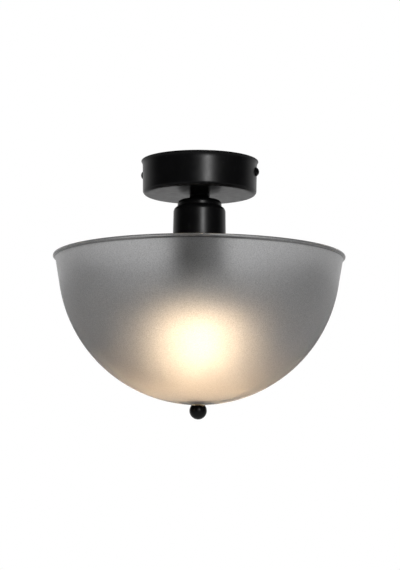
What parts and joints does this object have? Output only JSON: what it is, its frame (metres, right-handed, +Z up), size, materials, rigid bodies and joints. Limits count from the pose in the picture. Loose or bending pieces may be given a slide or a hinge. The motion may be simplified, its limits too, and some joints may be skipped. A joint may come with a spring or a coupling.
{
  "type": "ceiling light",
  "caption": "Close-to-ceiling light: black drum canopy and lampholder cup over an open frosted smoke-grey glass bowl, held from below by a black ball finial.",
  "frame": {"origin": "on the light's axis in the ceiling plane, which is the top face of the ceiling bracket", "axes": "+Z up towards the ceiling; X along the ceiling bracket, its slots and the two side screws"},
  "size_m": [0.3, 0.3, 0.2671],
  "materials": {
    "zinc_steel": "zinc plated",
    "black_paint": "satin black",
    "black_screw": "gloss black",
    "connector_plastic": "natural polyamide",
    "brass": "plain",
    "brown_insulation": "satin",
    "blue_insulation": "satin",
    "green_yellow_insulation": "striped",
    "white_ceramic": "unglazed",
    "black_plastic": "moulded",
    "clear_silicone": "translucent",
    "smoked_glass": "frosted smoke grey",
    "clear_washer": "clear",
    "opal_glass": "opal, lit",
    "nickel_cap": "nickel plated",
    "black_glass": "black glass",
    "tin_contact": "solder",
    "white_plastic": "satin",
    "board_white": "solder mask",
    "led_phosphor": "lit"
  },
  "bodies": {
    "lamp": {"ceiling_bracket": "zinc_steel", "canopy": "black_paint", "terminal_block": "connector_plastic", "terminal_tubes": "brass", "terminal_screws": "zinc_steel", "block_screw": "zinc_steel", "live_wire": "brown_insulation", "neutral_wire": "blue_insulation", "earth_wire": "green_yellow_insulation", "earth_stud": "zinc_steel", "earth_nut": "zinc_steel", "earth_tag": "zinc_steel", "threaded_nipple": "zinc_steel", "nipple_nuts": "zinc_steel", "lock_washers": "zinc_steel", "neck_spacer": "black_paint", "holder_cap": "black_paint", "holder_cup": "black_paint", "holder_insert": "white_ceramic", "thread_sleeve": "brass", "centre_contact": "brass", "contact_rivets": "brass", "holder_terminals": "brass", "holder_terminal_screws": "zinc_steel", "yoke": "zinc_steel", "yoke_ring": "black_plastic", "finial_stud": "zinc_steel", "stud_nut": "zinc_steel"},
    "right_screw": {"canopy_screw_right": "black_screw"},
    "left_screw": {"canopy_screw_left": "black_screw"},
    "bowl": {"glass_bowl": "smoked_glass", "inner_gasket": "clear_silicone", "inner_plate": "zinc_steel"},
    "finial_washer": {"outer_washer": "clear_washer"},
    "finial": {"finial_ball": "black_paint"},
    "bulb_tip": {"bulb_contact": "tin_contact"},
    "bulb": {"bulb_dome": "opal_glass", "bulb_housing": "white_plastic", "led_board": "board_white", "led_chips": "led_phosphor", "bulb_cap": "nickel_cap", "bulb_insulator": "black_glass"}
  },
  "joints": [
    {"name": "right_screw_turn", "type": "hinge", "parent": "lamp", "child": "right_screw", "pos_m": [0.059, 0, -0.013], "axis": [1, 0, 0], "range_deg": [0, 3420]},
    {"name": "left_screw_turn", "type": "hinge", "parent": "lamp", "child": "left_screw", "pos_m": [-0.059, 0, -0.013], "axis": [-1, 0, 0], "range_deg": [0, 3420]},
    {"name": "bowl_lower", "type": "slide", "parent": "lamp", "child": "bowl", "axis": [0, 0, -1], "range_m": [0, 0.12]},
    {"name": "finial_drop", "type": "slide", "parent": "bowl", "child": "finial_washer", "axis": [0, 0, -1], "range_m": [0, 0.011]},
    {"name": "finial_turn", "type": "hinge", "parent": "finial_washer", "child": "finial", "pos_m": [0, 0, -0.258], "axis": [0, 0, -1], "range_deg": [0, 3960]},
    {"name": "bulb_drop", "type": "slide", "parent": "lamp", "child": "bulb_tip", "axis": [0, 0, -1], "range_m": [0, 0.0181]},
    {"name": "bulb_turn", "type": "hinge", "parent": "bulb_tip", "child": "bulb", "pos_m": [0, 0, -0.18], "axis": [0, 0, -1], "range_deg": [0, 1800]}
  ],
  "couplings": [
    {"joint": "finial_drop", "follows": "finial_turn", "m_per_rad": 0.00015915},
    {"joint": "bulb_drop", "follows": "bulb_turn", "m_per_rad": 0.00057614}
  ]
}
